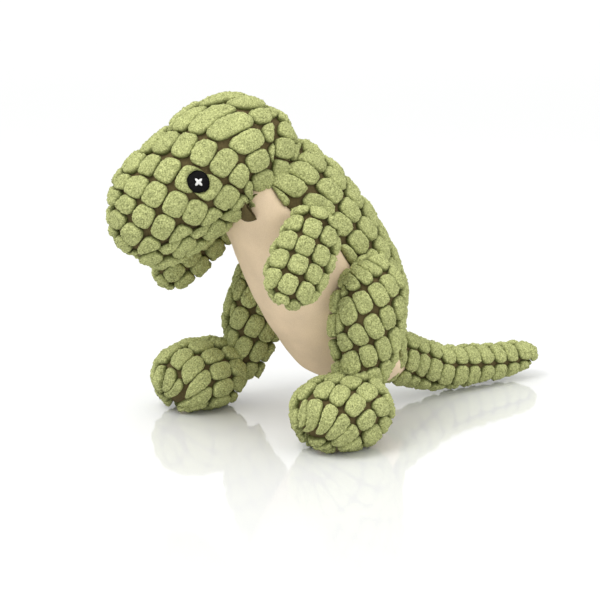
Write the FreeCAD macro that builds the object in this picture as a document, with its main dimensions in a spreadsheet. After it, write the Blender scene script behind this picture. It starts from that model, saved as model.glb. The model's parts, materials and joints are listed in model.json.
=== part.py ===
"""Stuffed dinosaur in squared pile plush: skins, stuffing and squeaker, on seven soft bodies.

The toy stands facing -Y with +Z up and its left side at +X.  The origin is on the floor under
the middle of its bounding box.  Every padded form is a loft through elliptical rings: an outer
loft is the tip of the pile, an inner loft the back of the cloth, and a smaller one the stuffing.
"""
import FreeCAD, Part
import os

doc = FreeCAD.newDocument("stuffed_dinosaur")
sheet = doc.addObject("Spreadsheet::Sheet", "Sizes")
V = FreeCAD.Vector
X_AXIS, Y_AXIS, Z_AXIS = V(1, 0, 0), V(0, 1, 0), V(0, 0, 1)
rows = 0


def size(alias, value):
    """Write one driving dimension into the sheet under its alias."""
    global rows
    rows += 1
    sheet.set("A%d" % rows, alias)
    sheet.set("B%d" % rows, str(value))
    sheet.setAlias("B%d" % rows, alias)


# Cloth and clearances
size("skin", 5)               # backing cloth and pile together
size("filling_gap", 0.3)      # between the cloth and the stuffing
size("joint_gap", 0.5)        # between two bodies that turn against each other
size("smallest_ring", 2)      # half size where an inner layer runs out
size("reach", 400)            # half size of the cutting boxes

# Where the middle of the bounding box lies from the point under the hips' front
size("middle_x", 0.67)
size("middle_y", 59.29)

# Body flanks, flat where the limbs lie against them
size("flank", 39.5)

# Neck: a ball on the torso, and the head turned and nodding on it
size("neck_y", -5)
size("neck_z", 160)
size("neck_ball", 25)
size("head_turn", -20)
size("head_nape_slope", 16)   # back rim of the head, from straight up towards the tail
size("jaw_slope", 30)         # rear edge of the jaw, from straight down towards the snout
size("throat_slope", 22)      # front of the throat, from straight down towards the snout
size("nape_room", 45)         # torso's own nape, from straight up towards the tail

# Tail: a ball in a socket at the end of the torso
size("tail_y", 88)
size("tail_z", 32)
size("tail_ball", 18)
size("tail_rim", 2)

# Limbs
size("shoulder_out", 46)
size("shoulder_y", 3)
size("shoulder_z", 137)
size("left_arm_swing", 34)
size("left_arm_splay", 18)
size("left_arm_twist", 12)
size("right_arm_swing", 42)
size("right_arm_splay", 14)
size("right_arm_twist", 4)
size("belly_top_room", 40)      # how far back the belly seam starts above the neck
size("leg_seam_out", 58.5)      # seam between a leg's outer and inner panels
size("sole_thickness", 5)
size("left_leg_back", 0)
size("right_leg_back", -13)
size("left_foot_turn", 2)
size("right_foot_turn", 6)

# Eyes, embroidered on a clipped patch of pile
size("eye_forward", 48)       # from the neck, along the head
size("eye_out", 41)           # from the head's middle to the pile tips
size("eye_z", 163)
size("eye_radius", 8)
size("eye_height", 1.8)
size("eye_sunk", 3.4)
size("glint_radius", 1.8)
size("glint_height", 0.5)
size("eye_clearance", 0.6)

# Chin panel: the part of the head's skin below this sloping plane
size("chin_y", -86)
size("chin_z", 115)
size("chin_slope", 27)

# Squeaker
size("squeaker_y", 34)
size("squeaker_z", 100)
size("squeaker_radius", 17)
size("squeaker_wall", 1.2)
size("valve_radius", 5)
size("valve_length", 9)         # standing out of the bulb
size("valve_body", 12.6)        # with the part inside the bulb

# Rings along each padded form: place, then half sizes across and through
TORSO = [(-7, 163, 20, 21), (0, 150, 34, 36), (14, 130, 39, 43), (32, 103, 43, 47.5),
         (47.5, 77, 44, 47), (59, 57, 40, 43), (72, 43, 30, 32), (88, 33, 20, 21.5)]
HEAD = [(8, 167, 20, 20.5), (-6, 169, 31.5, 32), (-26, 168, 39, 40), (-47, 155, 39.5, 40),
        (-67.5, 139.5, 36.6, 37), (-81, 130, 30, 30.5), (-90, 124.5, 22, 22.3), (-95.5, 121.5, 10, 10)]
TAIL = [(90, 31, 12, 12), (107, 25.5, 17.5, 17.5), (128, 18.5, 15.8, 15.8), (158, 15, 14.2, 14.2),
        (186, 14.5, 12.5, 12.5), (204, 15.5, 11, 10.5), (213, 16, 7.5, 7.5), (216.5, 16, 3.5, 3.5)]
ARM = [(-1, 12, 10), (9, 17, 12), (30, 20, 12.5), (48, 18.5, 11.5), (57, 14, 9.5), (62.5, 7, 5)]
LEG = [(46, 42, 106, 10, 13), (48, 40, 93, 20, 23), (49, 36, 74, 22, 25), (51, 33, 56, 20, 23),
       (53, 28, 40, 17, 17.5), (55, 25, 28, 15.5, 16), (56, 24, 18, 12, 13)]
FOOT = [(37, 21, 14, 13), (27, 21.5, 24, 21.5), (11, 21.5, 28.5, 23.5), (-7, 21, 26, 21.5),
        (-17, 20.5, 18.5, 16), (-22, 20, 8, 7)]


def store(form, table, columns):
    """Put a form's rings into the sheet, one alias for each number."""
    for number, ring in enumerate(table):
        for column, value in zip(columns, ring):
            size("%s_%s_%s" % (form, "abcdefgh"[number], column), value)


store("torso", TORSO, ("y", "z", "across", "through"))
store("head", HEAD, ("y", "z", "across", "through"))
store("tail", TAIL, ("y", "z", "across", "through"))
store("arm", ARM, ("along", "across", "through"))
store("leg", LEG, ("out", "y", "z", "across", "through"))
store("foot", FOOT, ("y", "z", "across", "through"))
size("foot_out", 62)
doc.recompute()


def value(alias):
    return float(sheet.get(alias))


def origin(x, y, z):
    """A place given from under the hips, moved into the toy's own frame."""
    return V(x - value("middle_x"), y - value("middle_y"), z)


NECK = origin(0, value("neck_y"), value("neck_z"))
TAIL_ROOT = origin(0, value("tail_y"), value("tail_z"))
HEAD_TURN = FreeCAD.Placement(V(0, 0, 0), FreeCAD.Rotation(Z_AXIS, value("head_turn")), NECK)
NO_TURN = FreeCAD.Placement()


# ---- building blocks ----

def bind(item, **expressions):
    for name, expression in expressions.items():
        item.setExpression(name, expression)
    return item


def boolean(kind, base, tool, name):
    item = doc.addObject("Part::" + kind, name)
    item.Base, item.Tool = base, tool
    return item


def cut(base, tool, name="cut"):
    return boolean("Cut", base, tool, name)


def common(base, tool, name="common"):
    return boolean("Common", base, tool, name)


def fuse(base, tool, name="fuse"):
    return boolean("Fuse", base, tool, name)


def ball(radius, centre, name):
    item = bind(doc.addObject("Part::Sphere", name), Radius=radius)
    item.Placement = FreeCAD.Placement(centre, FreeCAD.Rotation(Z_AXIS, X_AXIS))
    return item


def half_space(point, rotation=FreeCAD.Rotation(), name="half_space"):
    """A big box whose face through point looks along the rotated -Z: it keeps what is above."""
    item = bind(doc.addObject("Part::Box", name), Length="2 * Sizes.reach",
                Width="2 * Sizes.reach", Height="Sizes.reach")
    reach = value("reach")
    item.Placement = FreeCAD.Placement(point, rotation).multiply(
        FreeCAD.Placement(V(-reach, -reach, 0), FreeCAD.Rotation()))
    return item


def facing(direction):
    return FreeCAD.Rotation(Z_AXIS, V(*direction))


def prism(corners, turn, name):
    """A wedge across the whole toy, from corners in the Y-Z plane, turned about the neck."""
    wire = doc.addObject("Part::Polygon", name + "_outline")
    reach = value("reach")
    wire.Nodes = [V(-reach, y, z) for y, z in corners]
    wire.Close = True
    item = bind(doc.addObject("Part::Extrusion", name), LengthFwd="2 * Sizes.reach")
    item.Base, item.DirMode, item.Dir, item.Solid = wire, "Custom", X_AXIS, True
    item.Placement = turn
    return item


def loft(form, centres, major, inset, turn, name):
    """Loft elliptical rings; major is ("across" or "through", its direction); inset shrinks it."""
    rings = []
    last = len(centres) - 1
    shrink = inset or "0"
    shift = value("skin") if inset else 0
    for number, centre in enumerate(centres):
        to_end = min((centre - centres[0]).Length, (centre - centres[last]).Length)
        if 0 < to_end < shift + 2:
            continue    # an inner layer ends short of this ring
        ahead = centres[min(number + 1, last)] - centres[max(number - 1, 0)]
        ahead.normalize()
        long_side, direction = major
        side = V(*direction)
        side = side - ahead * side.dot(ahead)
        side.normalize()
        place = V(*centre)
        if number in (0, last):
            place = place + ahead * (shift if number == 0 else -shift)
        stem = "Sizes.%s_%s_" % (form, "abcdefgh"[number])
        other = "through" if long_side == "across" else "across"
        radius = "max(%s%s - (%s); Sizes.smallest_ring)"
        ring = bind(doc.addObject("Part::Ellipse", "%s_ring" % name),
                    MajorRadius=radius % (stem, long_side, shrink),
                    MinorRadius=radius % (stem, other, shrink))
        rotation = FreeCAD.Rotation(side, ahead.cross(side), ahead, "ZXY")
        ring.Placement = turn.multiply(FreeCAD.Placement(place, rotation))
        rings.append(ring)
    item = doc.addObject("Part::Loft", name)
    item.Sections, item.Solid, item.Ruled = rings, True, False
    return item


LAYERS = {"outside": "", "inside": "Sizes.skin", "filling": "Sizes.skin + Sizes.filling_gap"}
DEPTH = {"outside": 0, "inside": value("skin"), "filling": value("skin") + value("filling_gap")}
pieces = []


def piece(item, label):
    """Name a finished sub-part; its label is the name of its file."""
    item.Label = label
    pieces.append(item)
    return item


# ---- torso, with the neck ball and the tail socket ----

def spine(table):
    return [origin(0, ring[0], ring[1]) for ring in table]


def slope_point(start, degrees, length, upward):
    """From start, a point in the Y-Z plane at a slope measured from straight up or down."""
    turn = FreeCAD.Rotation(X_AXIS, degrees).multVec(V(0, 0, length if upward else -length))
    return start.y + turn.y, start.z + turn.z


def throat_wedge(depth, name):
    """Room in front of the throat for the jaw; depth moves it into the torso."""
    reach = value("reach")
    start = V(0, NECK.y + depth, NECK.z)
    low = slope_point(start, -value("throat_slope"), reach, False)
    high = slope_point(start, -value("nape_room"), 2 * reach, True)
    corners = [(start.y, start.z), low, (start.y - 2 * reach, start.z - reach),
               (start.y - 2 * reach, start.z + reach), high]
    return prism(corners, HEAD_TURN, name)


def torso_form(layer):
    depth = DEPTH[layer]
    body = loft("torso", spine(TORSO), ("through", (0, 1, 0.6)), LAYERS[layer], NO_TURN,
                "torso_" + layer)
    flat = value("flank") - depth
    middle = origin(0, 0, 0).x
    body = common(body, half_space(V(middle - flat, 0, 0), facing((1, 0, 0))))
    body = common(body, half_space(V(middle + flat, 0, 0), facing((-1, 0, 0))))
    end = TAIL_ROOT.y - value("tail_rim")
    body = common(body, half_space(V(0, end, 0), facing((0, -1, 0))))
    body = cut(body, throat_wedge(depth, "throat_" + layer))
    if layer == "filling":
        return cut(body, ball("Sizes.tail_ball + Sizes.joint_gap + Sizes.skin", TAIL_ROOT,
                              "tail_hollow"))
    shrink = LAYERS[layer] or "0"
    body = fuse(body, ball("Sizes.neck_ball - (%s)" % shrink, NECK, "neck_" + layer))
    return cut(body, ball("Sizes.tail_ball + Sizes.joint_gap", TAIL_ROOT, "tail_socket"))


def make_torso():
    skin = cut(torso_form("outside"), torso_form("inside"), "torso_skin")
    centre_line = spine(TORSO)
    reach = value("reach")
    first, last = centre_line[0], centre_line[-1]
    corners = [(first.y + value("belly_top_room"), first.z + reach)]
    corners += [(point.y, point.z) for point in centre_line]
    corners += [(last.y + reach, last.z), (last.y + reach, -reach), (-reach, -reach),
                (-reach, first.z + reach)]
    front = prism(corners, NO_TURN, "belly_side")
    piece(common(skin, front), "belly_panel")
    back = cut(skin, front)
    middle = V(origin(0, 0, 0).x, 0, 0)
    piece(common(back, half_space(middle, facing((1, 0, 0)))), "torso_skin_left")
    piece(common(back, half_space(middle, facing((-1, 0, 0)))), "torso_skin_right")
    place = origin(0, value("squeaker_y"), value("squeaker_z"))
    filling = cut(torso_form("filling"),
                  ball("Sizes.squeaker_radius + Sizes.filling_gap", place, "squeaker_room"))
    valve_length = value("squeaker_radius") + value("valve_length")
    room = bind(doc.addObject("Part::Cylinder", "valve_room"),
                Radius="Sizes.valve_radius + Sizes.filling_gap",
                Height="Sizes.squeaker_radius + Sizes.valve_length + Sizes.filling_gap")
    room.Placement.Base = place
    piece(cut(filling, room), "torso_stuffing")
    shell = cut(ball("Sizes.squeaker_radius", place, "bulb"),
                ball("Sizes.squeaker_radius - Sizes.squeaker_wall", place, "bulb_air"))
    bore = bind(doc.addObject("Part::Cylinder", "valve_bore"), Radius="Sizes.valve_radius",
                Height="Sizes.squeaker_radius * 2")
    bore.Placement.Base = place
    piece(cut(shell, bore), "squeaker_bulb")
    tube = bind(doc.addObject("Part::Cylinder", "valve_body"), Radius="Sizes.valve_radius",
                Height="Sizes.valve_body")
    hole = bind(doc.addObject("Part::Cylinder", "valve_hole"),
                Radius="Sizes.valve_radius - Sizes.squeaker_wall", Height="Sizes.valve_body * 2")
    tube.Placement.Base = place + V(0, 0, valve_length - value("valve_body"))
    hole.Placement.Base = tube.Placement.Base + V(0, 0, value("squeaker_wall"))
    piece(cut(tube, hole), "squeaker_valve")


# ---- head, turned on the neck ball ----

def head_wedge(depth, name):
    """What the head leaves free behind its nape rim and behind the rear edge of the jaw."""
    reach = value("reach")
    start = V(0, NECK.y - depth, NECK.z)
    high = slope_point(start, -value("head_nape_slope"), reach, True)
    low = slope_point(start, -value("jaw_slope"), reach, False)
    corners = [(start.y, start.z), high, (start.y + 2 * reach, start.z + reach),
               (start.y + 2 * reach, start.z - reach), low]
    return prism(corners, HEAD_TURN, name)


def head_form(layer):
    depth = DEPTH[layer]
    body = loft("head", spine(HEAD), ("through", (0, -0.4, 1)), LAYERS[layer], HEAD_TURN,
                "head_" + layer)
    body = cut(body, head_wedge(depth, "nape_" + layer))
    shrink = LAYERS[layer] or "0"
    return cut(body, ball("Sizes.neck_ball + Sizes.joint_gap + (%s)" % shrink, NECK,
                          "head_socket"))


def eye_disc(side, radius, height, sunk, name):
    """A round patch on the side of the head, its axis along the head's own X."""
    item = bind(doc.addObject("Part::Cylinder", name), Radius=radius, Height=height)
    across = value("eye_out") - sunk
    along = value("neck_y") - value("eye_forward")
    centre = origin(side * across, along, value("eye_z"))
    item.Placement = HEAD_TURN.multiply(FreeCAD.Placement(centre, facing((side, 0, 0))))
    return item


def make_head():
    outside = head_form("outside")
    names = {1: "left", -1: "right"}
    for side in names:
        outside = cut(outside, eye_disc(side, "Sizes.eye_radius + Sizes.eye_clearance",
                                        "Sizes.eye_radius * 2", value("eye_sunk"), "eye_pocket"))
    skin = cut(outside, head_form("inside"), "head_skin")
    chin_place = HEAD_TURN.multVec(origin(0, value("chin_y"), value("chin_z")))
    slope = FreeCAD.Rotation(X_AXIS, value("chin_slope"))
    below = HEAD_TURN.Rotation.multiply(slope).multiply(facing((0, 0, -1)))
    piece(common(skin, half_space(chin_place, below)), "chin_panel")
    above = HEAD_TURN.Rotation.multiply(slope)
    upper = common(skin, half_space(chin_place, above))
    for side in names:
        half = half_space(NECK, HEAD_TURN.Rotation.multiply(facing((side, 0, 0))))
        piece(common(upper, half), "head_skin_" + names[side])
        sunk = value("eye_sunk")
        patch = eye_disc(side, "Sizes.eye_radius", "Sizes.eye_height", sunk, "eye_patch")
        piece(patch, "eye_" + names[side])
        glint = eye_disc(side, "Sizes.glint_radius", "Sizes.glint_height",
                         sunk - value("eye_height"), "glint")
        piece(glint, "eye_glint_" + names[side])
    piece(head_form("filling"), "head_stuffing")


# ---- tail ----

def tail_form(layer):
    body = loft("tail", spine(TAIL), ("across", X_AXIS), LAYERS[layer], NO_TURN,
                "tail_" + layer)
    shrink = LAYERS[layer] or "0"
    return fuse(body, ball("Sizes.tail_ball - (%s)" % shrink, TAIL_ROOT, "tail_root"))


def make_tail():
    skin = cut(tail_form("outside"), tail_form("inside"), "tail_skin")
    middle = V(TAIL_ROOT.x, 0, 0)
    piece(common(skin, half_space(middle, facing((1, 0, 0)))), "tail_skin_left")
    piece(common(skin, half_space(middle, facing((-1, 0, 0)))), "tail_skin_right")
    piece(tail_form("filling"), "tail_stuffing")


# ---- arms ----

def outside_of_flank(side, depth):
    """The space beyond the torso's flat flank on one side."""
    flat = value("flank") + value("joint_gap") + depth
    return half_space(V(origin(0, 0, 0).x + side * flat, 0, 0), facing((side, 0, 0)))


def make_arm(side, name):
    swing = FreeCAD.Rotation(X_AXIS, -value(name + "_arm_swing"))
    splay = FreeCAD.Rotation(Y_AXIS, -side * value(name + "_arm_splay"))
    twist = FreeCAD.Rotation(Z_AXIS, -side * value(name + "_arm_twist"))
    pose = FreeCAD.Placement(
        origin(side * value("shoulder_out"), value("shoulder_y"), value("shoulder_z")),
        splay.multiply(swing))
    centres = [pose.multVec(V(0, 0, -ring[0])) for ring in ARM]
    fore_aft = pose.Rotation.multiply(twist).multVec(Y_AXIS)
    layers = {}
    for layer in LAYERS:
        body = loft("arm", centres, ("across", fore_aft), LAYERS[layer], NO_TURN,
                    "arm_%s_%s" % (name, layer))
        layers[layer] = common(body, outside_of_flank(side, DEPTH[layer]))
    skin = cut(layers["outside"], layers["inside"], "arm_skin")
    seam = pose.multVec(V(0, 0, 0))
    outward = pose.Rotation.multiply(twist).multVec(V(side, 0, 0))
    piece(common(skin, half_space(seam, facing(outward))), "arm_%s_outer" % name)
    piece(common(skin, half_space(seam, facing(-outward))), "arm_%s_inner" % name)
    piece(layers["filling"], "arm_%s_stuffing" % name)


# ---- legs and feet ----

def leg_form(side, name, layer):
    """A leg down into the foot; the foot's own form is cut away from it later."""
    back = value(name + "_leg_back")
    centres = []
    for out, y, z, _, _ in LEG:
        shift = back * min(1.0, (LEG[0][2] - z) / (LEG[0][2] - LEG[3][2]))
        centres.append(origin(side * out, y + shift, z))
    leg = loft("leg", centres, ("through", (0, 1, 0)), LAYERS[layer], NO_TURN,
               "leg_%s_%s" % (name, layer))
    return common(leg, outside_of_flank(side, DEPTH[layer]))


def foot_form(side, name, layer):
    """A rounded foot, flat underneath."""
    back = 2 * value(name + "_leg_back")
    heel = origin(side * value("foot_out"), FOOT[1][0] + back, 0)
    turn = FreeCAD.Rotation(Z_AXIS, -side * value(name + "_foot_turn"))
    toes = FreeCAD.Placement(V(0, 0, 0), turn, heel)
    centres = [origin(side * value("foot_out"), y + back, z) for y, z, _, _ in FOOT]
    foot = loft("foot", centres, ("across", X_AXIS), LAYERS[layer], toes,
                "foot_%s_%s" % (name, layer))
    return common(foot, half_space(V(0, 0, DEPTH[layer])))


def make_leg(side, name):
    outside, inside = foot_form(side, name, "outside"), foot_form(side, name, "inside")
    sole_top = V(0, 0, value("sole_thickness"))
    sole = common(outside, half_space(sole_top, facing((0, 0, -1))))
    piece(cut(sole, inside), "sole_" + name)
    piece(cut(common(outside, half_space(sole_top)), inside), "foot_%s_upper" % name)
    piece(foot_form(side, name, "filling"), "foot_%s_stuffing" % name)
    shin = cut(leg_form(side, name, "outside"), leg_form(side, name, "inside"), "leg_skin")
    shin = cut(shin, outside)
    seam = V(origin(side * value("leg_seam_out"), 0, 0).x, 0, 0)
    piece(common(shin, half_space(seam, facing((side, 0, 0)))), "leg_%s_outer" % name)
    piece(common(shin, half_space(seam, facing((-side, 0, 0)))), "leg_%s_inner" % name)
    piece(cut(leg_form(side, name, "filling"), outside), "leg_%s_stuffing" % name)


make_torso()
make_head()
make_tail()
for side, name in ((1, "left"), (-1, "right")):
    make_arm(side, name)
    make_leg(side, name)
doc.recompute()

# ---- check and export ----

for item in doc.Objects:
    if "Invalid" in item.State or "Error" in item.State:
        raise RuntimeError("object %s failed: %s" % (item.Label, item.State))
os.makedirs("parts", exist_ok=True)
for item in pieces:
    shape = item.Shape
    if shape.isNull() or not shape.isValid() or not shape.Solids:
        raise RuntimeError("sub-part %s has no valid solid" % item.Label)
    shape.exportStep("parts/%s.step" % item.Label)
    box = shape.BoundBox
    print("%-22s %d solid(s) %8.0f mm3  x %.1f..%.1f  y %.1f..%.1f  z %.1f..%.1f" % (
        item.Label, len(shape.Solids), shape.Volume, box.XMin, box.XMax, box.YMin, box.YMax,
        box.ZMin, box.ZMax))
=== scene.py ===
"""The stuffed dinosaur's looks: squared pile laid in tufts on padded forms, a smooth belly panel
and embroidered eyes.  Lengths are millimetres from the point on the floor under the hips' front,
until a mesh is made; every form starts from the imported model's own joints."""
import json
import math

import bpy
import numpy as np
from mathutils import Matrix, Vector


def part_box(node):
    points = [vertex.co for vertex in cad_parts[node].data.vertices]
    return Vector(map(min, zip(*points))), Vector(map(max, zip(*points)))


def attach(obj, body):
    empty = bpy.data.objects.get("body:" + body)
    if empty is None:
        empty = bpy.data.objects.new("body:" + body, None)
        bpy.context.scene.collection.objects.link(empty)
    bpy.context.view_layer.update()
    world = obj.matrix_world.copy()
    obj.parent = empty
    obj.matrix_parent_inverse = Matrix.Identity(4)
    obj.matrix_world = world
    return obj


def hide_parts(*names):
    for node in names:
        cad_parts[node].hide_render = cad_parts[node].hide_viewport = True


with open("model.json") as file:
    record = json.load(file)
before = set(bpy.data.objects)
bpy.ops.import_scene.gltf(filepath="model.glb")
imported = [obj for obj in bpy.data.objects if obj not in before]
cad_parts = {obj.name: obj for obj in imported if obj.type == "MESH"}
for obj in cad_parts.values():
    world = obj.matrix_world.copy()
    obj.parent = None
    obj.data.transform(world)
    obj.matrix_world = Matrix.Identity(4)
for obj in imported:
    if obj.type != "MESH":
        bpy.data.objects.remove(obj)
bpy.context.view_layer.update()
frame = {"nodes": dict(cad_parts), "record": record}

MM = 0.001

joints = {joint["name"]: joint for joint in frame["record"]["behaviour"]["joints"]}
NECK_HOME = np.array([0, -5, 160.0])          # the neck pivot in the forms' own millimetres
HOME = np.array(joints["neck_nod"]["pos_m"]) / MM - NECK_HOME
HEAD_TURN = math.atan2(-joints["neck_nod"]["axis"][1], -joints["neck_nod"]["axis"][0])

PILE = 4.6                # height of the pile over its backing
CHART_LEVEL = 2.2         # tufts keep their pitch at this height under the pile's tips
CHART_REACH = 110         # the chart runs this far to each side of its middle line
FLOOR_GAP = 1.2           # pile and backing near the floor are flattened over this height
CUT = 0.4                 # pile nearer than this to a seam is cut off


# ---- padded forms ----

def smooth(knots, values, at):
    """Catmull-Rom interpolation of values (n, k) over uneven knots."""
    values = np.asarray(values, float)
    flat = values.ndim == 1
    if flat:
        values = values[:, None]
    slope = np.gradient(values, knots, axis=0)
    i = np.clip(np.searchsorted(knots, at) - 1, 0, len(knots) - 2)
    span = (knots[i + 1] - knots[i])[:, None]
    x = ((at - knots[i]) / (knots[i + 1] - knots[i]))[:, None]
    result = ((2 * x ** 3 - 3 * x ** 2 + 1) * values[i] + (x ** 3 - 2 * x ** 2 + x) * span * slope[i]
              + (-2 * x ** 3 + 3 * x ** 2) * values[i + 1] + (x ** 3 - x ** 2) * span * slope[i + 1])
    return result[:, 0] if flat else result


def turned(points, angle, about):
    """Turn points about the vertical through a place."""
    c, s = math.cos(angle), math.sin(angle)
    flat = np.asarray(points, float) - about
    return np.stack([c * flat[..., 0] - s * flat[..., 1], s * flat[..., 0] + c * flat[..., 1],
                     flat[..., 2]], -1) + about


class Form:
    """A padded form: elliptical rings along a curved spine, as a grid of stations and angles.
    Angle 0 is the side direction, and a quarter turn on is the up direction."""

    def __init__(self, rings, side, up, stations=160, angles=144, turn=0.0,
                 about=NECK_HOME, start=0.0, inset=PILE):
        centres = np.array([ring[0] for ring in rings], float)
        sizes = np.array([ring[1:] for ring in rings], float)
        knots = np.concatenate([[0], np.cumsum(np.linalg.norm(np.diff(centres, axis=0), axis=1))])
        t = np.linspace(0, 1, stations)
        along = knots[-1] * (0.4 * t + 0.6 * 0.5 * (1 - np.cos(np.pi * t)))
        centre = smooth(knots, centres, along)
        half = np.sqrt(np.clip(smooth(knots, sizes ** 2, along), 0.05, None))
        ahead = np.gradient(centre, along, axis=0)
        ahead /= np.linalg.norm(ahead, axis=1)[:, None]
        side = np.asarray(side, float) - ahead * (ahead @ np.asarray(side, float))[:, None]
        side /= np.linalg.norm(side, axis=1)[:, None]
        other = np.cross(ahead, side)
        other *= np.sign((other @ np.asarray(up, float)).sum())
        self.theta = start + np.linspace(-np.pi, np.pi, angles + 1)
        c, s = np.cos(self.theta), np.sin(self.theta)
        tips = (centre[:, None] + half[:, 0, None, None] * c[None, :, None] * side[:, None]
                + half[:, 1, None, None] * s[None, :, None] * other[:, None])
        tips = turned(tips, turn, about)
        around = np.gradient(tips, axis=1)
        around[:, 0] = around[:, -1] = tips[:, 1] - tips[:, -2]
        normal = np.cross(around, np.gradient(tips, axis=0))
        length = np.linalg.norm(normal, axis=2)[..., None]
        normal = normal / np.maximum(length, 1e-9)
        outward = tips - turned(centre, turn, about)[:, None]
        if (normal * outward).sum() < 0:
            normal = -normal
        normal[0], normal[-1] = -turned(ahead[0], turn, 0), turned(ahead[-1], turn, 0)
        self.centre, self.half = turned(centre, turn, about), half
        self.tips, self.normal = tips, normal
        self.base = tips - inset * normal
        self.chart = tips - CHART_LEVEL * normal
        self.lay_chart()

    def lay_chart(self):
        """Arc lengths on the form: u along its middle line, v around from it."""
        j = (len(self.theta) - 1) / 2
        line = self.sample(self.chart, np.arange(len(self.chart), dtype=float),
                           np.full(len(self.chart), j))
        self.u = np.concatenate([[0], np.cumsum(np.linalg.norm(np.diff(line, axis=0), axis=1))])
        step = np.linalg.norm(np.diff(self.chart, axis=1), axis=2)
        arc = np.concatenate([np.zeros((len(step), 1)), np.cumsum(step, axis=1)], axis=1)
        columns = np.arange(arc.shape[1])
        self.v = arc - np.array([np.interp(j, columns, row) for row in arc])[:, None]
        self.v_grid = np.linspace(-CHART_REACH, CHART_REACH, 4 * CHART_REACH + 1)
        self.inverse = np.array([np.interp(self.v_grid, row, columns) for row in self.v])

    @staticmethod
    def sample(table, i, j):
        i = np.clip(i, 0, table.shape[0] - 1.001)
        j = np.clip(j, 0, table.shape[1] - 1.001)
        i0, j0 = i.astype(int), j.astype(int)
        fi, fj = (i - i0), (j - j0)
        if table.ndim == 3:
            fi, fj = fi[..., None], fj[..., None]
        return ((1 - fi) * ((1 - fj) * table[i0, j0] + fj * table[i0, j0 + 1])
                + fi * ((1 - fj) * table[i0 + 1, j0] + fj * table[i0 + 1, j0 + 1]))

    def locate(self, u, v):
        i = np.interp(u, self.u, np.arange(len(self.u)))
        end = CHART_REACH - 0.1
        column = (np.clip(v, -end, end) - self.v_grid[0]) / (self.v_grid[1] - self.v_grid[0])
        return i, self.sample(self.inverse, i, column)

    def place(self, u, v):
        """Backing point and outward normal at chart places."""
        i, j = self.locate(u, v)
        normal = self.sample(self.normal, i, j)
        normal /= np.maximum(np.linalg.norm(normal, axis=-1), 1e-9)[..., None]
        return self.sample(self.base, i, j), normal

    def seam(self, degrees):
        """The v of the line at one angle, as a function of u."""
        j = np.interp(math.radians(degrees), self.theta, np.arange(len(self.theta)))

        def at(u):
            i = np.interp(u, self.u, np.arange(len(self.u)))
            return self.sample(self.v, i, np.full(np.shape(i), j))
        return at

    def find(self, point):
        """The chart place nearest to a point."""
        i, j = np.unravel_index(np.linalg.norm(self.tips - point, axis=2).argmin(), self.v.shape)
        return self.u[i], self.v[i, j]

    def depth_inside(self, points):
        """How far points are inside the form's tips, roughly, in millimetres."""
        points = np.asarray(points, float).reshape(-1, 3)
        gap = np.linalg.norm(points[:, None] - self.centre[None, ::3], axis=2)
        nearest = gap.argmin(1) * 3
        rows = self.tips[nearest]
        d = np.linalg.norm(rows - points[:, None], axis=2)
        k = d.argmin(1)
        tip = rows[np.arange(len(points)), k]
        out = self.normal[nearest, k]
        return ((tip - points) * out).sum(1)


TORSO_RINGS = [((0, -10, 170), 22, 24), ((0, -7, 163), 29, 33), ((0, 0, 150), 34, 38.5),
               ((0, 14, 130), 39, 43), ((0, 32, 103), 43, 47.5), ((0, 47.5, 77), 44, 47),
               ((0, 59, 57), 40, 43), ((0, 72, 43), 30, 32), ((0, 88, 33), 20, 21.5),
               ((0, 100, 28), 12, 12)]
TORSO = Form(TORSO_RINGS, (1, 0, 0), (0, 1, 0.6), start=math.pi / 2)
HEAD_RINGS = [((0, 16, 166), 1, 1), ((0, 13, 166.3), 12, 11), ((0, 8, 167), 23, 20.5),
              ((0, 1, 168), 29, 28.5), ((0, -6, 169), 32, 31.5), ((0, -25, 170), 39, 38),
              ((0, -45, 158.5), 40, 36), ((0, -66.5, 141.5), 37, 35), ((0, -81, 130), 30.5, 30.5),
              ((0, -90, 124.5), 22, 22.3), ((0, -95.5, 121.5), 12, 12), ((0, -97.6, 120.2), 1, 1)]
HEADS = {1: Form(HEAD_RINGS, (1, 0, 0), (0, 0, 1), turn=HEAD_TURN),
         -1: Form(HEAD_RINGS, (-1, 0, 0), (0, 0, 1), turn=HEAD_TURN)}
TAIL_RINGS = [((0, 76, 35), 14, 14), ((0, 90, 31), 18, 19), ((0, 107, 25.5), 17, 18),
              ((0, 128, 18.5), 15, 16), ((0, 158, 15), 13.5, 14.5), ((0, 186, 14.5), 12.5, 12.5),
              ((0, 204, 15.5), 11, 10.5), ((0, 213, 16), 7.5, 7.5), ((0, 217, 16.2), 1, 1)]
TAIL = Form(TAIL_RINGS, (1, 0, 0), (0, 0, 1), start=math.pi / 2)


def spun(axis, degrees):
    """Rotation matrix about X, Y or Z (0, 1, 2)."""
    c, s = math.cos(math.radians(degrees)), math.sin(math.radians(degrees))
    matrix = np.eye(3)
    a, b = (axis + 1) % 3, (axis + 2) % 3
    matrix[a, a], matrix[a, b], matrix[b, a], matrix[b, b] = c, -s, s, c
    return matrix


def arm_form(side, shoulder, swing, splay, twist, start, reach=1.0):
    """A flat mitten hanging from the shoulder, swung forward, splayed outwards and twisted."""
    pose = spun(1, -side * splay) @ spun(0, -swing)
    rings = [(-3, 1, 1), (-1, 12, 10), (9, 17, 12), (30, 20, 12.5), (48, 18.5, 11.5), (57, 14, 9.5),
             (62.5, 7, 5), (64, 1, 1)]
    twisted = pose @ spun(2, -side * twist)
    return Form([(np.array(shoulder) + pose @ (0, 0, -along * reach), across, thick)
                 for along, across, thick in rings],
                twisted @ (0, -1, 0), twisted @ (side, 0, 0), stations=110, angles=112, start=start)


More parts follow.
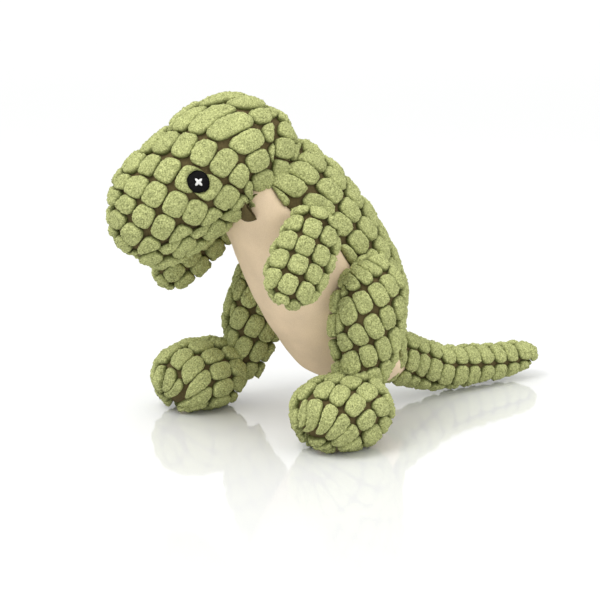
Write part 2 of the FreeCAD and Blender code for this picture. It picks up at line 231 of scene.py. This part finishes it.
def leg_forms(side, back, foot_turn, start):
    """A leg's form and its foot's, both standing on the floor."""
    leg = [(46, 42, 112, 1, 1), (46, 42, 107, 9, 12), (48, 40, 93, 20, 23), (49, 36, 74, 22, 25),
           (51, 33, 56, 20, 23), (53, 28, 40, 17, 17.5), (55, 25, 28, 15.5, 16), (56, 24, 18, 12, 13)]
    foot = [(42, 21, 1, 1), (37, 21, 14, 13), (27, 21.5, 24, 21.5), (11, 21.5, 28.5, 23.5),
            (-7, 21, 26, 21.5), (-17, 20.5, 18.5, 16), (-22, 20, 8, 7), (-23.5, 20, 1, 1)]
    rings = [((side * out, y + back * min(1, (106 - z) / 50), z), across, through)
             for out, y, z, across, through in leg]
    shin = Form(rings, (side, 0, 0), (0, 1, 0), stations=110, angles=112, start=start)
    rings = [((side * 62, y + 2 * back, z), across, through) for y, z, across, through in foot]
    heel = np.array([side * 62, 27 + 2 * back, 0.0])
    toes = Form(rings, (side, 0, 0), (0, 0, 1), stations=110, angles=112,
                turn=math.radians(-side * foot_turn), about=heel, start=math.pi / 2)
    return shin, toes


OUTER, INNER = 0, 1
ARMS, LEGS, FEET = {}, {}, {}
for face in (OUTER, INNER):
    ARMS[1, face] = arm_form(1, (46, 3, 137), 37, 18, 12, math.pi * (0.5 - face), reach=0.95)
    ARMS[-1, face] = arm_form(-1, (-46, 3, 137), 42, 14, 4, math.pi * (0.5 - face), reach=1.17)
    LEGS[1, face], FEET[1] = leg_forms(1, 0, 2, math.pi * face)
    LEGS[-1, face], FEET[-1] = leg_forms(-1, -13, 6, math.pi * face)


# ---- meshes ----

def add_mesh(name, points, faces, uv=None, **values):
    """A smooth mesh from places in millimetres; faces is an (n, 4) array or a list of them, and
    a quad whose last two corners are the same is a triangle."""
    mesh = bpy.data.meshes.new(name)
    points = np.asarray(points, float)
    mesh.vertices.add(len(points))
    mesh.vertices.foreach_set("co", ((points + HOME) * MM).astype(np.float32).ravel())
    corners = np.where(faces[:, 3] == faces[:, 2], 3, 4)
    keep = np.ones(faces.shape, bool)
    keep[:, 3] = corners == 4
    loops = faces[keep]
    mesh.loops.add(len(loops))
    mesh.loops.foreach_set("vertex_index", loops.astype(np.int32))
    mesh.polygons.add(len(faces))
    starts = np.concatenate([[0], np.cumsum(corners)[:-1]])
    mesh.polygons.foreach_set("loop_start", starts.astype(np.int32))
    mesh.polygons.foreach_set("use_smooth", np.ones(len(faces), bool))
    mesh.update(calc_edges=True)
    if uv is not None:
        layer = mesh.uv_layers.new(name="OFBake")
        layer.data.foreach_set("uv", uv[loops].astype(np.float32).ravel())
    for key, value in values.items():
        attribute = mesh.attributes.new(key, "FLOAT", "POINT")
        attribute.data.foreach_set("value", value.astype(np.float32))
    mesh.validate()
    item = bpy.data.objects.new(name, mesh)
    bpy.context.scene.collection.objects.link(item)
    return item


def grid_faces(rows, columns, wrap):
    """Quads of a grid of points, closed around when wrap is true."""
    index = np.arange(rows * columns).reshape(rows, columns)
    if wrap:
        index = np.concatenate([index, index[:, :1]], axis=1)
    a, b, c, d = index[:-1, :-1], index[:-1, 1:], index[1:, 1:], index[1:, :-1]
    return np.stack([a, b, c, d], -1).reshape(-1, 4)


def closed_tube(name, grid):
    """A closed skin from a grid whose first and last columns meet."""
    rows, columns = grid.shape[0], grid.shape[1] - 1
    points = grid[:, :-1].reshape(-1, 3)
    faces = [grid_faces(rows, columns, True)]
    first, last = len(points), len(points) + 1
    around = np.arange(columns)
    after = (around + 1) % columns
    tail = (rows - 1) * columns
    faces.append(np.stack([after, around, np.full(columns, first), np.full(columns, first)], 1))
    faces.append(np.stack([around + tail, after + tail, np.full(columns, last),
                           np.full(columns, last)], 1))
    points = np.concatenate([points, [grid[0, :-1].mean(0), grid[-1, :-1].mean(0)]])
    return add_mesh(name, points, np.concatenate(faces))


def lumps(points, size, seed):
    """Smooth noise from -1 to 1 over places in millimetres."""
    table = np.random.default_rng(seed).uniform(-1, 1, (32, 32, 32))
    q = np.asarray(points) / size
    i = np.floor(q).astype(int)
    f = q - i
    f = f * f * (3 - 2 * f)
    total = 0
    for corner in range(8):
        d = np.array([corner & 1, corner >> 1 & 1, corner >> 2])
        weight = np.prod(np.where(d, f, 1 - f), axis=-1)
        total = total + weight * table[tuple(((i + d) % 32).reshape(-1, 3).T)].reshape(weight.shape)
    return total


# ---- tufts ----

GRID = 29
EDGE = 1.6                # a tuft's pile crowds together this far from a seam
PLACE_SPREAD = 0.25       # how unevenly tufts are woven: places in mm, turns in degrees, and sizes,
SPIN_SPREAD = 2.2         # heights and leans as shares
LONG_SPREAD, SHORT_SPREAD = 0.025, 0.03
HEIGHT_SPREAD, LEAN_SPREAD = 0.05, 0.06
LEAST = 0.2               # a tuft stays when at least this share of it is on its panel
BURIED = 2.5              # and when it isn't deeper than this in another form
SQUARENESS = 3.0          # a tuft's outline, from 2 for an oval to more for a rectangle
side_line = np.linspace(-1, 1, GRID)
a, b = np.meshgrid(side_line, side_line, indexing="ij")
rho = np.maximum(abs(a), abs(b)).ravel()
norm = (abs(a) ** SQUARENESS + abs(b) ** SQUARENESS) ** (1 / SQUARENESS)
unit = np.stack([a / np.maximum(norm, 1e-9), b / np.maximum(norm, 1e-9)], -1).reshape(-1, 2)
# how far out and how high each ring of a tuft lies, as shares of its size, from middle to rim
DOME = np.array([(0, 0, 1), (0.3, 0.37, 0.985), (0.55, 0.65, 0.94), (0.72, 0.83, 0.84),
                 (0.84, 0.94, 0.66), (0.92, 0.99, 0.42), (0.97, 0.98, 0.16), (1, 0.93, -0.2)])
LATERAL = np.interp(rho, DOME[:, 0], DOME[:, 1])
HEIGHT = np.interp(rho, DOME[:, 0], DOME[:, 2])
TUFT = unit * LATERAL[:, None]
TUFT_UV = np.stack([a, b], -1).reshape(-1, 2) * 0.46 + 0.5


def crowd(distance):
    """Distance kept from a seam, which never falls below nothing."""
    return np.where(distance < EDGE, EDGE * np.exp(np.minimum(distance - EDGE, 0) / EDGE), distance)


def rounded(distance, radius=2.6):
    """Height share of the pile at a distance from the seam it is cut along."""
    x = np.clip(1 - distance / radius, 0, 1)
    return np.sqrt(np.clip(1 - x ** 2.2, 0, 1))


def lay_tufts(form, pitch, turn=0.0, phase=(0, 0), v_low=None, v_high=None, planes=(),
              holes=(), others=(), gap=(0.3, 0.5), seed=1):
    """Tufts on a rectangular lattice over part of a form.
    pitch is (short, long); at turn 0 the long way runs along the form.  v_low and v_high give the
    seams along the form as functions of u, planes are (point, normal) with the panel on the normal's
    side, holes are (u, v, half along, half around), and others are forms that bury tufts."""
    dice = np.random.default_rng(seed)
    short, long_way = pitch
    reach_u, reach_v = form.u[-1], CHART_REACH
    n = int(max(reach_u, reach_v) / short) + 8
    i, j = np.meshgrid(np.arange(-n, n + 1), np.arange(-n, n + 1), indexing="ij")
    i, j = i.ravel() + phase[0], j.ravel() + phase[1]
    c, s = math.cos(math.radians(turn)), math.sin(math.radians(turn))
    u0 = form.u[-1] / 2 + j * long_way * c - i * short * s
    v0 = j * long_way * s + i * short * c
    near = (u0 > -10) & (u0 < reach_u + 10) & (abs(v0) < reach_v)
    near &= (v0 > v_low(u0) - 9) & (v0 < v_high(u0) + 9)
    u0, v0 = u0[near], v0[near]
    count = len(u0)
    u0 = u0 + dice.normal(0, PLACE_SPREAD, count)
    v0 = v0 + dice.normal(0, PLACE_SPREAD, count)
    spin = math.radians(turn) + dice.normal(0, math.radians(SPIN_SPREAD), count)
    half_long = (long_way / 2 - gap[1] / 2) * (1 + dice.normal(0, LONG_SPREAD, count))
    half_short = (short / 2 - gap[0] / 2) * (1 + dice.normal(0, SHORT_SPREAD, count))
    x = TUFT[None, :, 0] * half_long[:, None]
    y = TUFT[None, :, 1] * half_short[:, None]
    cs, sn = np.cos(spin)[:, None], np.sin(spin)[:, None]
    u, v = u0[:, None] + x * cs - y * sn, v0[:, None] + x * sn + y * cs
    share = np.ones_like(u)
    inside = np.ones(u.shape, bool)
    for limit, sign in ((v_low, 1), (v_high, -1)):
        bound = limit(u)
        distance = sign * (v - bound)
        inside &= distance > CUT
        kept = crowd(distance)
        v = bound + sign * kept
        share *= rounded(kept)
    for limit, sign in ((0, 1), (reach_u, -1)):
        distance = sign * (u - limit)
        inside &= distance > CUT
        kept = crowd(distance)
        u = limit + sign * kept
        share *= rounded(kept)
    for hole_u, hole_v, half_u, half_v in holes:
        x, y = (u - hole_u) / half_u, (v - hole_v) / half_v
        size = math.sqrt(half_u * half_v)
        away = np.maximum(np.hypot(x, y), 1e-3)
        distance = (away - 1) * size
        inside &= distance > CUT
        kept = crowd(distance)
        ratio = (1 + kept / size) / away
        ratio = np.minimum(ratio, 6)
        u, v = hole_u + x * ratio * half_u, hole_v + y * ratio * half_v
        share *= rounded(kept, 2.0)
    points, normal = form.place(u, v)
    for point, towards in planes:
        towards = np.asarray(towards, float) / np.linalg.norm(towards)
        distance = (points - point) @ towards
        inside &= distance > CUT
        kept = crowd(distance)
        points = points + (kept - distance)[..., None] * towards
        share *= rounded(kept)
    fraction = inside.mean(axis=1)
    keep = fraction > LEAST
    for other in others:
        tip = points + normal * PILE
        buried = np.array([other.depth_inside(row[::7]).min() for row in tip])
        keep &= buried < BURIED
    points, normal, share, fraction = points[keep], normal[keep], share[keep], fraction[keep]
    count = len(points)
    tall = PILE * (1 + dice.normal(0, HEIGHT_SPREAD, count)) * np.clip(0.62 + fraction, 0.7, 1)
    tilt = dice.normal(0, LEAN_SPREAD, (count, 2))
    rise = (HEIGHT[None] * share
            * (1 + TUFT[None, :, 0] * tilt[:, :1] + TUFT[None, :, 1] * tilt[:, 1:]))
    rise = np.where(HEIGHT[None] < 0, HEIGHT[None], rise)
    points = points + normal * (rise * tall[:, None])[..., None]
    rough = lumps(points, 3.4, seed) * 0.45 + lumps(points, 1.5, seed + 1) * 0.42
    rough = rough + dice.normal(0, 0.2, rough.shape)
    level = np.clip(np.maximum(rise, HEIGHT[None] * 0.6), 0, 1)
    points = points + normal * (rough * (0.25 + 0.75 * level))[..., None]
    side_noise = np.stack([lumps(points, 1.7, seed + 2 + k) for k in range(3)], -1) * 0.42
    side_noise = side_noise + dice.normal(0, 0.13, points.shape)
    points = points + side_noise * (0.3 + 0.7 * level)[..., None]
    low = points[..., 2] < FLOOR_GAP
    pressed = FLOOR_GAP * np.exp((points[..., 2] - FLOOR_GAP) / FLOOR_GAP)
    points[..., 2] = np.where(low, pressed, points[..., 2])
    return points, level, dice.uniform(-1, 1, count)


TUFT_FACES = grid_faces(GRID, GRID, False)


def add_pile(name, body, sets):
    """One piece from several sets of tufts."""
    points = np.concatenate([one[0] for one in sets])
    level = np.concatenate([one[1] for one in sets])
    shade = np.concatenate([one[2] for one in sets])
    count = len(points)
    faces = (TUFT_FACES[None] + (np.arange(count) * GRID * GRID)[:, None, None]).reshape(-1, 4)
    flat = points.reshape(-1, 3)
    first = TUFT_FACES[len(TUFT_FACES) // 2 + GRID // 2]
    cells = int(math.ceil(math.sqrt(count)))
    cell = np.stack([np.arange(count) % cells, np.arange(count) // cells], 1)
    uv = (cell[:, None] + TUFT_UV[None]) / cells
    # outward faces: compare a middle face's normal with the way up from the tuft's rim
    p = points[:, first]
    face_normal = np.cross(p[:, 1] - p[:, 0], p[:, 2] - p[:, 0])
    up = points[:, GRID * GRID // 2] - points[:, [0, GRID - 1, -GRID, -1]].mean(1)
    faces = faces.reshape(count, -1, 4)
    wrong = (face_normal * up).sum(1) < 0
    faces[wrong] = faces[wrong][:, :, ::-1]
    item = add_mesh(name, flat, faces.reshape(-1, 4), uv.reshape(-1, 2), level=level.ravel(),
                    shade=np.repeat(shade, GRID * GRID))
    dress(item, PILE_LOOK)
    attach(item, body)
    print("%-22s %4d tufts" % (name, count))
    return item


# ---- materials ----

def nodes_of(name):
    """A new material's node maker, its Principled shader and its linker."""
    material = bpy.data.materials.new(name)
    material.use_nodes = True
    tree = material.node_tree
    shader = tree.nodes["Principled BSDF"]

    def make(kind, **settings):
        node = tree.nodes.new(kind)
        for key, value in settings.items():
            if hasattr(node, key):
                setattr(node, key, value)
            else:
                node.inputs[key.replace("_", " ")].default_value = value
        return node
    return material, make, shader, tree.links.new


def linear(red, green, blue):
    """Linear colour from 0..255 display values."""
    return tuple(c / 12.92 if c <= 0.04045 else ((c + 0.055) / 1.055) ** 2.4
                 for c in (red / 255, green / 255, blue / 255)) + (1.0,)


def mixed(make, link, factor, first, second, blend="MIX"):
    node = make("ShaderNodeMix", data_type="RGBA", blend_type=blend)
    if isinstance(factor, float):
        node.inputs["Factor"].default_value = factor
    else:
        link(factor, node.inputs["Factor"])
    for value, socket in ((first, node.inputs[6]), (second, node.inputs[7])):
        if isinstance(value, tuple):
            socket.default_value = value
        else:
            link(value, socket)
    return node.outputs[2]


def ramp(make, link, source, *stops):
    """A float ramp: stops are (position, value)."""
    node = make("ShaderNodeValToRGB")
    elements = node.color_ramp.elements
    while len(elements) < len(stops):
        elements.new(0.5)
    for element, (position, value) in zip(elements, stops):
        element.position = position
        element.color = (value, value, value, 1)
    link(source, node.inputs[0])
    return node.outputs[0]


def fabric(name, tip, deep_shade_and_grain, fine, coarse, bump, sheen=0.25, paint_pile_shade=True, variation=0.5):
    """A matt fabric from its colours at the tips and deep in the pile, the scales of its fine and
    coarse noise, and its bump.  When asked, it is darker low in the pile: painted shade between the
    tufts, in the deep colour that the fine noise also uses as its darker tone."""
    material, make, shader, link = nodes_of(name)
    place = make("ShaderNodeTexCoord")
    small = make("ShaderNodeTexNoise", Scale=fine, Detail=2.0)
    large = make("ShaderNodeTexNoise", Scale=coarse, Detail=3.0)
    link(place.outputs["Object"], small.inputs["Vector"])
    link(place.outputs["Object"], large.inputs["Vector"])
    grain = ramp(make, link, small.outputs[0], (0.3, 0.0), (0.7, variation))
    colour = mixed(make, link, grain, tip, deep_shade_and_grain)
    # painted shade: low in each tuft, by its level attribute, the colour darkens to the deep colour,
    # where the tufts would shade one another
    if paint_pile_shade:
        level = make("ShaderNodeAttribute", attribute_name="level")
        low = ramp(make, link, level.outputs["Fac"], (0.15, 1.0), (0.75, 0.0))
        colour = mixed(make, link, low, colour, deep_shade_and_grain)
    shaded = ramp(make, link, large.outputs[0], (0.3, 0.86), (0.7, 1.0))
    colour = mixed(make, link, 1.0, colour, shaded, "MULTIPLY")
    link(colour, shader.inputs["Base Color"])
    shader.inputs["Roughness"].default_value = 0.95
    shader.inputs["Specular IOR Level"].default_value = 0.15
    shader.inputs["Sheen Weight"].default_value = sheen
    shader.inputs["Sheen Roughness"].default_value = 0.5
    shader.inputs["Sheen Tint"].default_value = tip
    relief = make("ShaderNodeBump", Strength=bump, Distance=0.0006)
    link(small.outputs[0], relief.inputs["Height"])
    link(relief.outputs[0], shader.inputs["Normal"])
    return material


# the green pile's darker colour is painted shade low between the tufts, and it is also the fine
# noise's darker tone
PILE_LOOK = fabric("green_pile", linear(208, 213, 147), linear(84, 90, 40), 1150.0, 60.0, 0.9,
                   variation=0.75)
BACKING_LOOK = fabric("brown_backing", linear(104, 92, 60), linear(66, 58, 36), 900.0, 80.0, 0.5,
                      sheen=0.05, paint_pile_shade=False)
TAN_LOOK = fabric("tan_plush", linear(236, 214, 184), linear(218, 192, 158), 1800.0, 45.0, 0.25,
                  sheen=0.2, paint_pile_shade=False)
BLACK_LOOK = fabric("black_thread", linear(22, 21, 22), linear(8, 8, 8), 1500.0, 60.0, 0.3,
                    sheen=0.05, paint_pile_shade=False)
WHITE_LOOK = fabric("white_thread", linear(240, 240, 238), linear(215, 215, 212), 1500.0, 60.0, 0.2,
                    sheen=0.05, paint_pile_shade=False)


def dress(item, look):
    item.data.materials.clear()
    item.data.materials.append(look)
    return item


# ---- the toy ----

def head_turned(y, z):
    """A direction in the head's middle plane, in the toy's frame."""
    return turned(np.array([0, y, z], float), HEAD_TURN, 0)


def lean(degrees):
    """Normal, towards the head, of a plane across the neck leaning by some degrees."""
    angle = math.radians(degrees)
    return head_turned(-math.cos(angle), math.sin(angle))


# seams across the forms, each a point on a plane and the normal towards its panel
NECK_SEAM = turned(np.array([0, -7, 169.0]), HEAD_TURN, NECK_HOME)
NAPE = (NECK_SEAM, lean(2))
BEHIND = (NECK_SEAM, -lean(2))
JAW_REAR = (NECK_HOME - 9 * lean(30), lean(30))
CHIN_SLOPE = math.radians(27)
CHIN = (turned(np.array([0, -86, 115.0]), HEAD_TURN, NECK_HOME),
        head_turned(-math.sin(CHIN_SLOPE), math.cos(CHIN_SLOPE)))
UNDER_CHIN = (CHIN[0], -CHIN[1])
TAIL_SEAM = (np.array([0, 85, 34.0]), np.array([0, -0.95, 0.3]))
BEYOND_TAIL_SEAM = (TAIL_SEAM[0], -TAIL_SEAM[1])
SIDES = ((1, "left"), (-1, "right"))
DIPPED = -1.5             # a body's mesh dips this far under the cloth that covers it


def halves(side, seam):
    """The bounds of one side's panel, from the middle line to its seam."""
    return (seam, at_middle) if side == 1 else (at_middle, seam)


def at_middle(u):
    """The middle line, as a bound."""
    return np.zeros_like(u)


def lifted(form, extra):
    """The form's backing raised by an amount for each station and angle."""
    return form.base + form.normal * extra[..., None]


# torso: a tan body whose belly is lifted, a brown backing round the rest, and tufts
BELLY_SEAM = (-180.0, 0.0)        # the belly panel's angles, from one side of the torso to the other
SEAM_SHIFT = 13.0                 # the belly's seams run this much nearer the front at the neck
SHIFT_FROM, SHIFT_OVER = 116, 34  # starting at this height, over this rise


def narrower(z):
    """How much nearer the front the belly's seams run at a height."""
    return SEAM_SHIFT * np.clip((z - SHIFT_FROM) / SHIFT_OVER, 0, 1) ** 1.5


def panel_rise(form, low, high, top, outside, tuck=2.4, wider=1):
    """Height over the backing of a smooth panel between two angles, tucked in at its seams."""
    degrees = np.degrees(form.theta)
    change = wider * narrower(form.centre[:, 2])[:, None]
    edge_low = np.array([np.interp(low, degrees, row) for row in form.v])[:, None] - change
    edge_high = np.array([np.interp(high, degrees, row) for row in form.v])[:, None] + change
    distance = np.minimum(form.v - edge_low, edge_high - form.v)
    raised = top * (1 - np.exp(-np.clip(distance, 0, None) / tuck)) - 0.5
    return np.where(distance > 0, raised, outside)


neck_rings = [((0, -14, 178), 1, 1), ((0, -12, 174), 13, 13)]
belly_form = Form(neck_rings + TORSO_RINGS, (1, 0, 0), (0, 1, 0.6), stations=220, angles=240,
                  start=-math.pi / 2)
rise = panel_rise(belly_form, *BELLY_SEAM, top=PILE - 0.6, outside=DIPPED, wider=-1)
rise += lumps(belly_form.base, 9.0, 5) * 0.35
belly = dress(closed_tube("belly", lifted(belly_form, rise)), TAN_LOOK)
neck_rings = [((0, -13, 176), 1, 1), ((0, -11, 172), 15, 15)]
backing_form = Form(neck_rings + TORSO_RINGS, (1, 0, 0), (0, 1, 0.6), start=math.pi / 2)
rise = panel_rise(backing_form, BELLY_SEAM[1], BELLY_SEAM[0] + 360, top=0.5, outside=DIPPED - 1,
                  tuck=0.8)
torso_backing = dress(closed_tube("torso_backing", lifted(backing_form, rise)), BACKING_LOOK)
for item in (belly, torso_backing):
    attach(item, "torso")
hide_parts("torso_skin_left", "torso_skin_right", "torso_stuffing")
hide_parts("belly_panel")


def belly_line(side):
    """The belly's seam on one side, as the pile's bound."""
    middle = TORSO.seam(0 if side == 1 else 180)
    return lambda u: middle(u) - side * narrower(np.interp(u, TORSO.u, TORSO.centre[:, 2]))


for side, name in SIDES:
    low, high = halves(side, belly_line(side))
    add_pile("torso_pile_" + name, "torso", [lay_tufts(
        TORSO, (13.4, 18.0), phase=(0.02, 0.91), v_low=low, v_high=high, planes=[TAIL_SEAM],
        others=[HEADS[1], ARMS[side, OUTER], LEGS[side, OUTER]], seed=20 + side)])

# head: the eyes sit a little under the solids' own, as the pile hangs over them
EYE_DROP = 2.8
EYE_HALF, EYE_HOLE = (6.6, 8.0), (6.0, 7.4)       # along the head and around it
GLINT_HALF = (2.2, 2.5)
HEAD_PITCH, HEAD_WEAVE = (13.2, 16.4), -24        # the cloth's tufts and turn on the head
eye_places = {}
for side, name in SIDES:
    form = HEADS[side]
    low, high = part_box("eye_" + name)
    centre = np.array((low + high) / 2) / MM - HOME - (0, 0, EYE_DROP)
    eye_places[side] = form.find(centre)
    crown, under = form.seam(90), form.seam(-90)
    add_pile("head_pile_" + name, "head", [
        lay_tufts(form, HEAD_PITCH, turn=HEAD_WEAVE, phase=(0.04, 0.2), v_low=under, v_high=crown,
                  planes=[NAPE, JAW_REAR, CHIN], holes=[eye_places[side] + EYE_HOLE],
                  seed=40 + side),
        lay_tufts(form, (13.2, 16.6), turn=10, phase=(0.3, 0.1), v_low=form.seam(-20), v_high=crown,
                  planes=[BEHIND], others=[TORSO], seed=46 + side)])
skin = HEADS[1]
on_chin = ((skin.base - CHIN[0]) @ CHIN[1]) < 0
head_backing = dress(closed_tube("head_backing", lifted(skin, np.where(on_chin, DIPPED, 0.0))),
                     BACKING_LOOK)
chin = dress(closed_tube("chin_backing", lifted(skin, np.where(on_chin, 0.1, DIPPED))), BACKING_LOOK)
for item in (head_backing, chin):
    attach(item, "head")
add_pile("chin_pile", "head", [
    lay_tufts(HEADS[side], HEAD_PITCH, turn=HEAD_WEAVE, phase=(0.4, 0.6), v_low=HEADS[side].seam(-90),
              v_high=HEADS[side].seam(90), planes=[UNDER_CHIN, JAW_REAR], seed=54 + side)
    for side, name in SIDES])
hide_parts("head_skin_left", "head_skin_right", "head_stuffing")
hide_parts("chin_panel")

# eyes: satin stitches in an uneven oval with one lobe, and a small crossed white stitch
RINGS, SPOKES = 14, 64
THREAD = 0.55                                     # width of one stitch
r = np.linspace(0, 1, RINGS)[:, None]
angle = np.linspace(0, 2 * np.pi, SPOKES + 1)[None]
OVAL = (1 + 0.05 * np.sin(2 * angle + 0.6) + 0.05 * np.sin(3 * angle + 1.9)
        + 0.24 * np.exp(-((angle - 1.0) / 0.3) ** 2))
CROSS = 1 + 0.38 * np.cos(4 * angle + 0.5)
for side, name in SIDES:
    form = HEADS[side]
    eye_u, eye_v = eye_places[side]
    for part, size, outline, top, look, cad in (
            ("eye", EYE_HALF, OVAL, 2.6, BLACK_LOOK, "eye_"),
            ("glint", GLINT_HALF, CROSS, 3.5, WHITE_LOOK, "eye_glint_")):
        u = eye_u + r * size[0] * outline * np.cos(angle)
        v = eye_v + r * size[1] * outline * np.sin(angle)
        point, normal = form.place(u, v)
        stitches = 0.22 * np.sin(u * 2 * np.pi / THREAD + v * 1.5)
        crown = top * np.sqrt(np.clip(1 - r ** 4, 0, 1)) + stitches * (r < 0.93) - 0.4
        grid = point + normal * crown[..., None]
        patch = dress(closed_tube(part + "_" + name, grid[1:]), look)
        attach(patch, "head")
        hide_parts(cad + name)

# tail
tail_backing = dress(closed_tube("tail_backing", TAIL.base), BACKING_LOOK)
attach(tail_backing, "tail")
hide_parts("tail_skin_left", "tail_skin_right", "tail_stuffing")
sets = []
for side, name in SIDES:
    low, high = halves(side, TAIL.seam(-90 if side == 1 else 270))
    sets.append(lay_tufts(TAIL, (11.2, 16.0), turn=90, phase=(0.2, 0.5), v_low=low, v_high=high,
                          planes=[BEYOND_TAIL_SEAM], gap=(0.8, 0.8), seed=60 + side))
add_pile("tail_pile", "tail", sets)

# arms, legs and feet
FOOT_PITCH = {1: (11.6, 15.0), -1: (11.6, 17.6)}
FOOT_WEAVE = {1: (-30, (0.31, 0.19)), -1: (4, (0.52, 0.21))}
FOOT_SEAM = {1: -80, -1: 260}     # the angles where a foot's pile ends underneath
SOLE_EDGE = (-62, 242)            # and the angles whose outline the tan sole follows
# the sole's outline from its top to the floor, as shares of the foot's outline and heights
SOLE_LEVELS = [(0.3, 4.5), (0.54, 4.5), (0.6, 3.4), (0.6, 1.2), (0.57, 0.15), (0.3, 0.0)]
for side, name in SIDES:
    outer, inner = ARMS[side, OUTER], ARMS[side, INNER]
    arm_backing = dress(closed_tube("arm_backing_" + name, outer.base), BACKING_LOOK)
    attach(arm_backing, "arm_" + name)
    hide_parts(*("arm_%s_%s" % (name, part) for part in ("outer", "inner", "stuffing")))
    add_pile("arm_pile_" + name, "arm_" + name, [
        lay_tufts(outer, (11.4, 12.6), turn=1, phase=(0.69, 0.8), v_low=outer.seam(0),
                  v_high=outer.seam(180), others=[TORSO], seed=80 + side),
        lay_tufts(inner, (11.4, 14.0), phase=(0.4, 0.0), v_low=inner.seam(-180), v_high=inner.seam(0),
                  others=[TORSO], seed=90 + side)])
    outer, inner, foot = LEGS[side, OUTER], LEGS[side, INNER], FEET[side]
    leg_backing = dress(closed_tube("leg_backing_" + name, outer.base), BACKING_LOOK)
    flattened = np.maximum(foot.base, (-np.inf, -np.inf, FLOOR_GAP))
    foot_backing = dress(closed_tube("foot_backing_" + name, flattened), BACKING_LOOK)
    for item in (leg_backing, foot_backing):
        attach(item, "leg_" + name)
    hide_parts(*("leg_%s_%s" % (name, part) for part in ("outer", "inner", "stuffing")))
    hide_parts("foot_%s_upper" % name, "foot_%s_stuffing" % name)
    add_pile("leg_pile_" + name, "leg_" + name, [
        lay_tufts(outer, (10.9, 15.8), turn=34, phase=(0.55, 0.57), v_low=outer.seam(-90),
                  v_high=outer.seam(90), others=[TORSO, foot], seed=100 + side),
        lay_tufts(inner, (11.4, 15.3), turn=4, phase=(0.76, 0.09), v_low=inner.seam(90),
                  v_high=inner.seam(270), others=[TORSO, foot], seed=110 + side)])
    turn, phase = FOOT_WEAVE[side]
    sets = []
    for part in (1, -1):
        low, high = halves(part, foot.seam(FOOT_SEAM[part]))
        sets.append(lay_tufts(foot, FOOT_PITCH[side], turn=turn, phase=phase, v_low=low, v_high=high,
                              others=[outer], seed=120 + side + part))
    add_pile("foot_pile_" + name, "leg_" + name, sets)
    columns = [int(np.abs(foot.theta - math.radians(edge)).argmin()) for edge in SOLE_EDGE]
    outline = foot.base[:, columns]
    loop = np.concatenate([outline[12:-8:3, 0], outline[-9:11:-3, 1]])
    middle = loop.mean(0)
    loop = np.concatenate([loop, loop[:1]])
    grid = np.stack([np.stack([middle[0] + (loop[:, 0] - middle[0]) * share,
                               middle[1] + (loop[:, 1] - middle[1]) * share,
                               np.full(len(loop), z)], -1) for share, z in SOLE_LEVELS])
    sole = dress(closed_tube("sole_pad_" + name, grid), TAN_LOOK)
    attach(sole, "leg_" + name)
    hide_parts("sole_" + name)


# ---- floor, light and camera ----

CAMERA_AZIMUTH, CAMERA_HEIGHT, CAMERA_DISTANCE = 56.0, 12.5, 1.0
AIM = (HOME + np.array([30, 0, 85.0])) * MM
REACH = 6.0               # the floor's half side

floor_mesh = bpy.data.meshes.new("floor")
floor_mesh.from_pydata([(-REACH, -REACH, 0), (REACH, -REACH, 0), (REACH, REACH, 0),
                        (-REACH, REACH, 0)], [], [(0, 1, 2, 3)])
floor = bpy.data.objects.new("floor", floor_mesh)
bpy.context.scene.collection.objects.link(floor)
material, make, shader, link = nodes_of("floor_gloss")
shader.inputs["Base Color"].default_value = (0.74, 0.745, 0.74, 1)
shader.inputs["Roughness"].default_value = 0.06
dress(floor, material)


def add_light(name, across, up, back, size, power):
    """A round soft light, placed across, above and towards the camera from the toy, in metres."""
    angle = math.radians(CAMERA_AZIMUTH)
    rightward = np.array([math.cos(angle), math.sin(angle), 0])
    backward = np.array([math.sin(angle), -math.cos(angle), 0])
    data = bpy.data.lights.new(name, "AREA")
    data.shape, data.size, data.energy = "DISK", size, power
    lamp = bpy.data.objects.new(name, data)
    bpy.context.scene.collection.objects.link(lamp)
    lamp.location = AIM + rightward * across + backward * back + np.array([0, 0, up])
    lamp.rotation_euler = (Vector(AIM) - lamp.location).to_track_quat("-Z", "Y").to_euler()


add_light("key", across=-0.7, up=1.5, back=0.6, size=1.0, power=16)
add_light("fill", across=1.2, up=0.7, back=1.0, size=1.2, power=6)
world = bpy.data.worlds.new("studio")
bpy.context.scene.world = world
world.use_nodes = True
world.node_tree.nodes["Background"].inputs["Color"].default_value = (1, 1, 1, 1)
world.node_tree.nodes["Background"].inputs["Strength"].default_value = 1.1

bpy.context.scene.view_settings.view_transform = "Standard"

camera_data = bpy.data.cameras.new("camera")
camera_data.lens, camera_data.sensor_width = 100, 36
camera = bpy.data.objects.new("camera", camera_data)
bpy.context.scene.collection.objects.link(camera)
azimuth, height = math.radians(CAMERA_AZIMUTH), math.radians(CAMERA_HEIGHT)
back = Vector((math.sin(azimuth) * math.cos(height), -math.cos(azimuth) * math.cos(height),
               math.sin(height)))
camera.location = Vector(AIM) + back * CAMERA_DISTANCE
camera.rotation_euler = (-back).to_track_quat("-Z", "Y").to_euler()
bpy.context.scene.camera = camera

# the squeaker is hidden in the filling, as plain white plastic
for node in ("squeaker_bulb", "squeaker_valve"):
    dress(frame["nodes"][node], WHITE_LOOK)
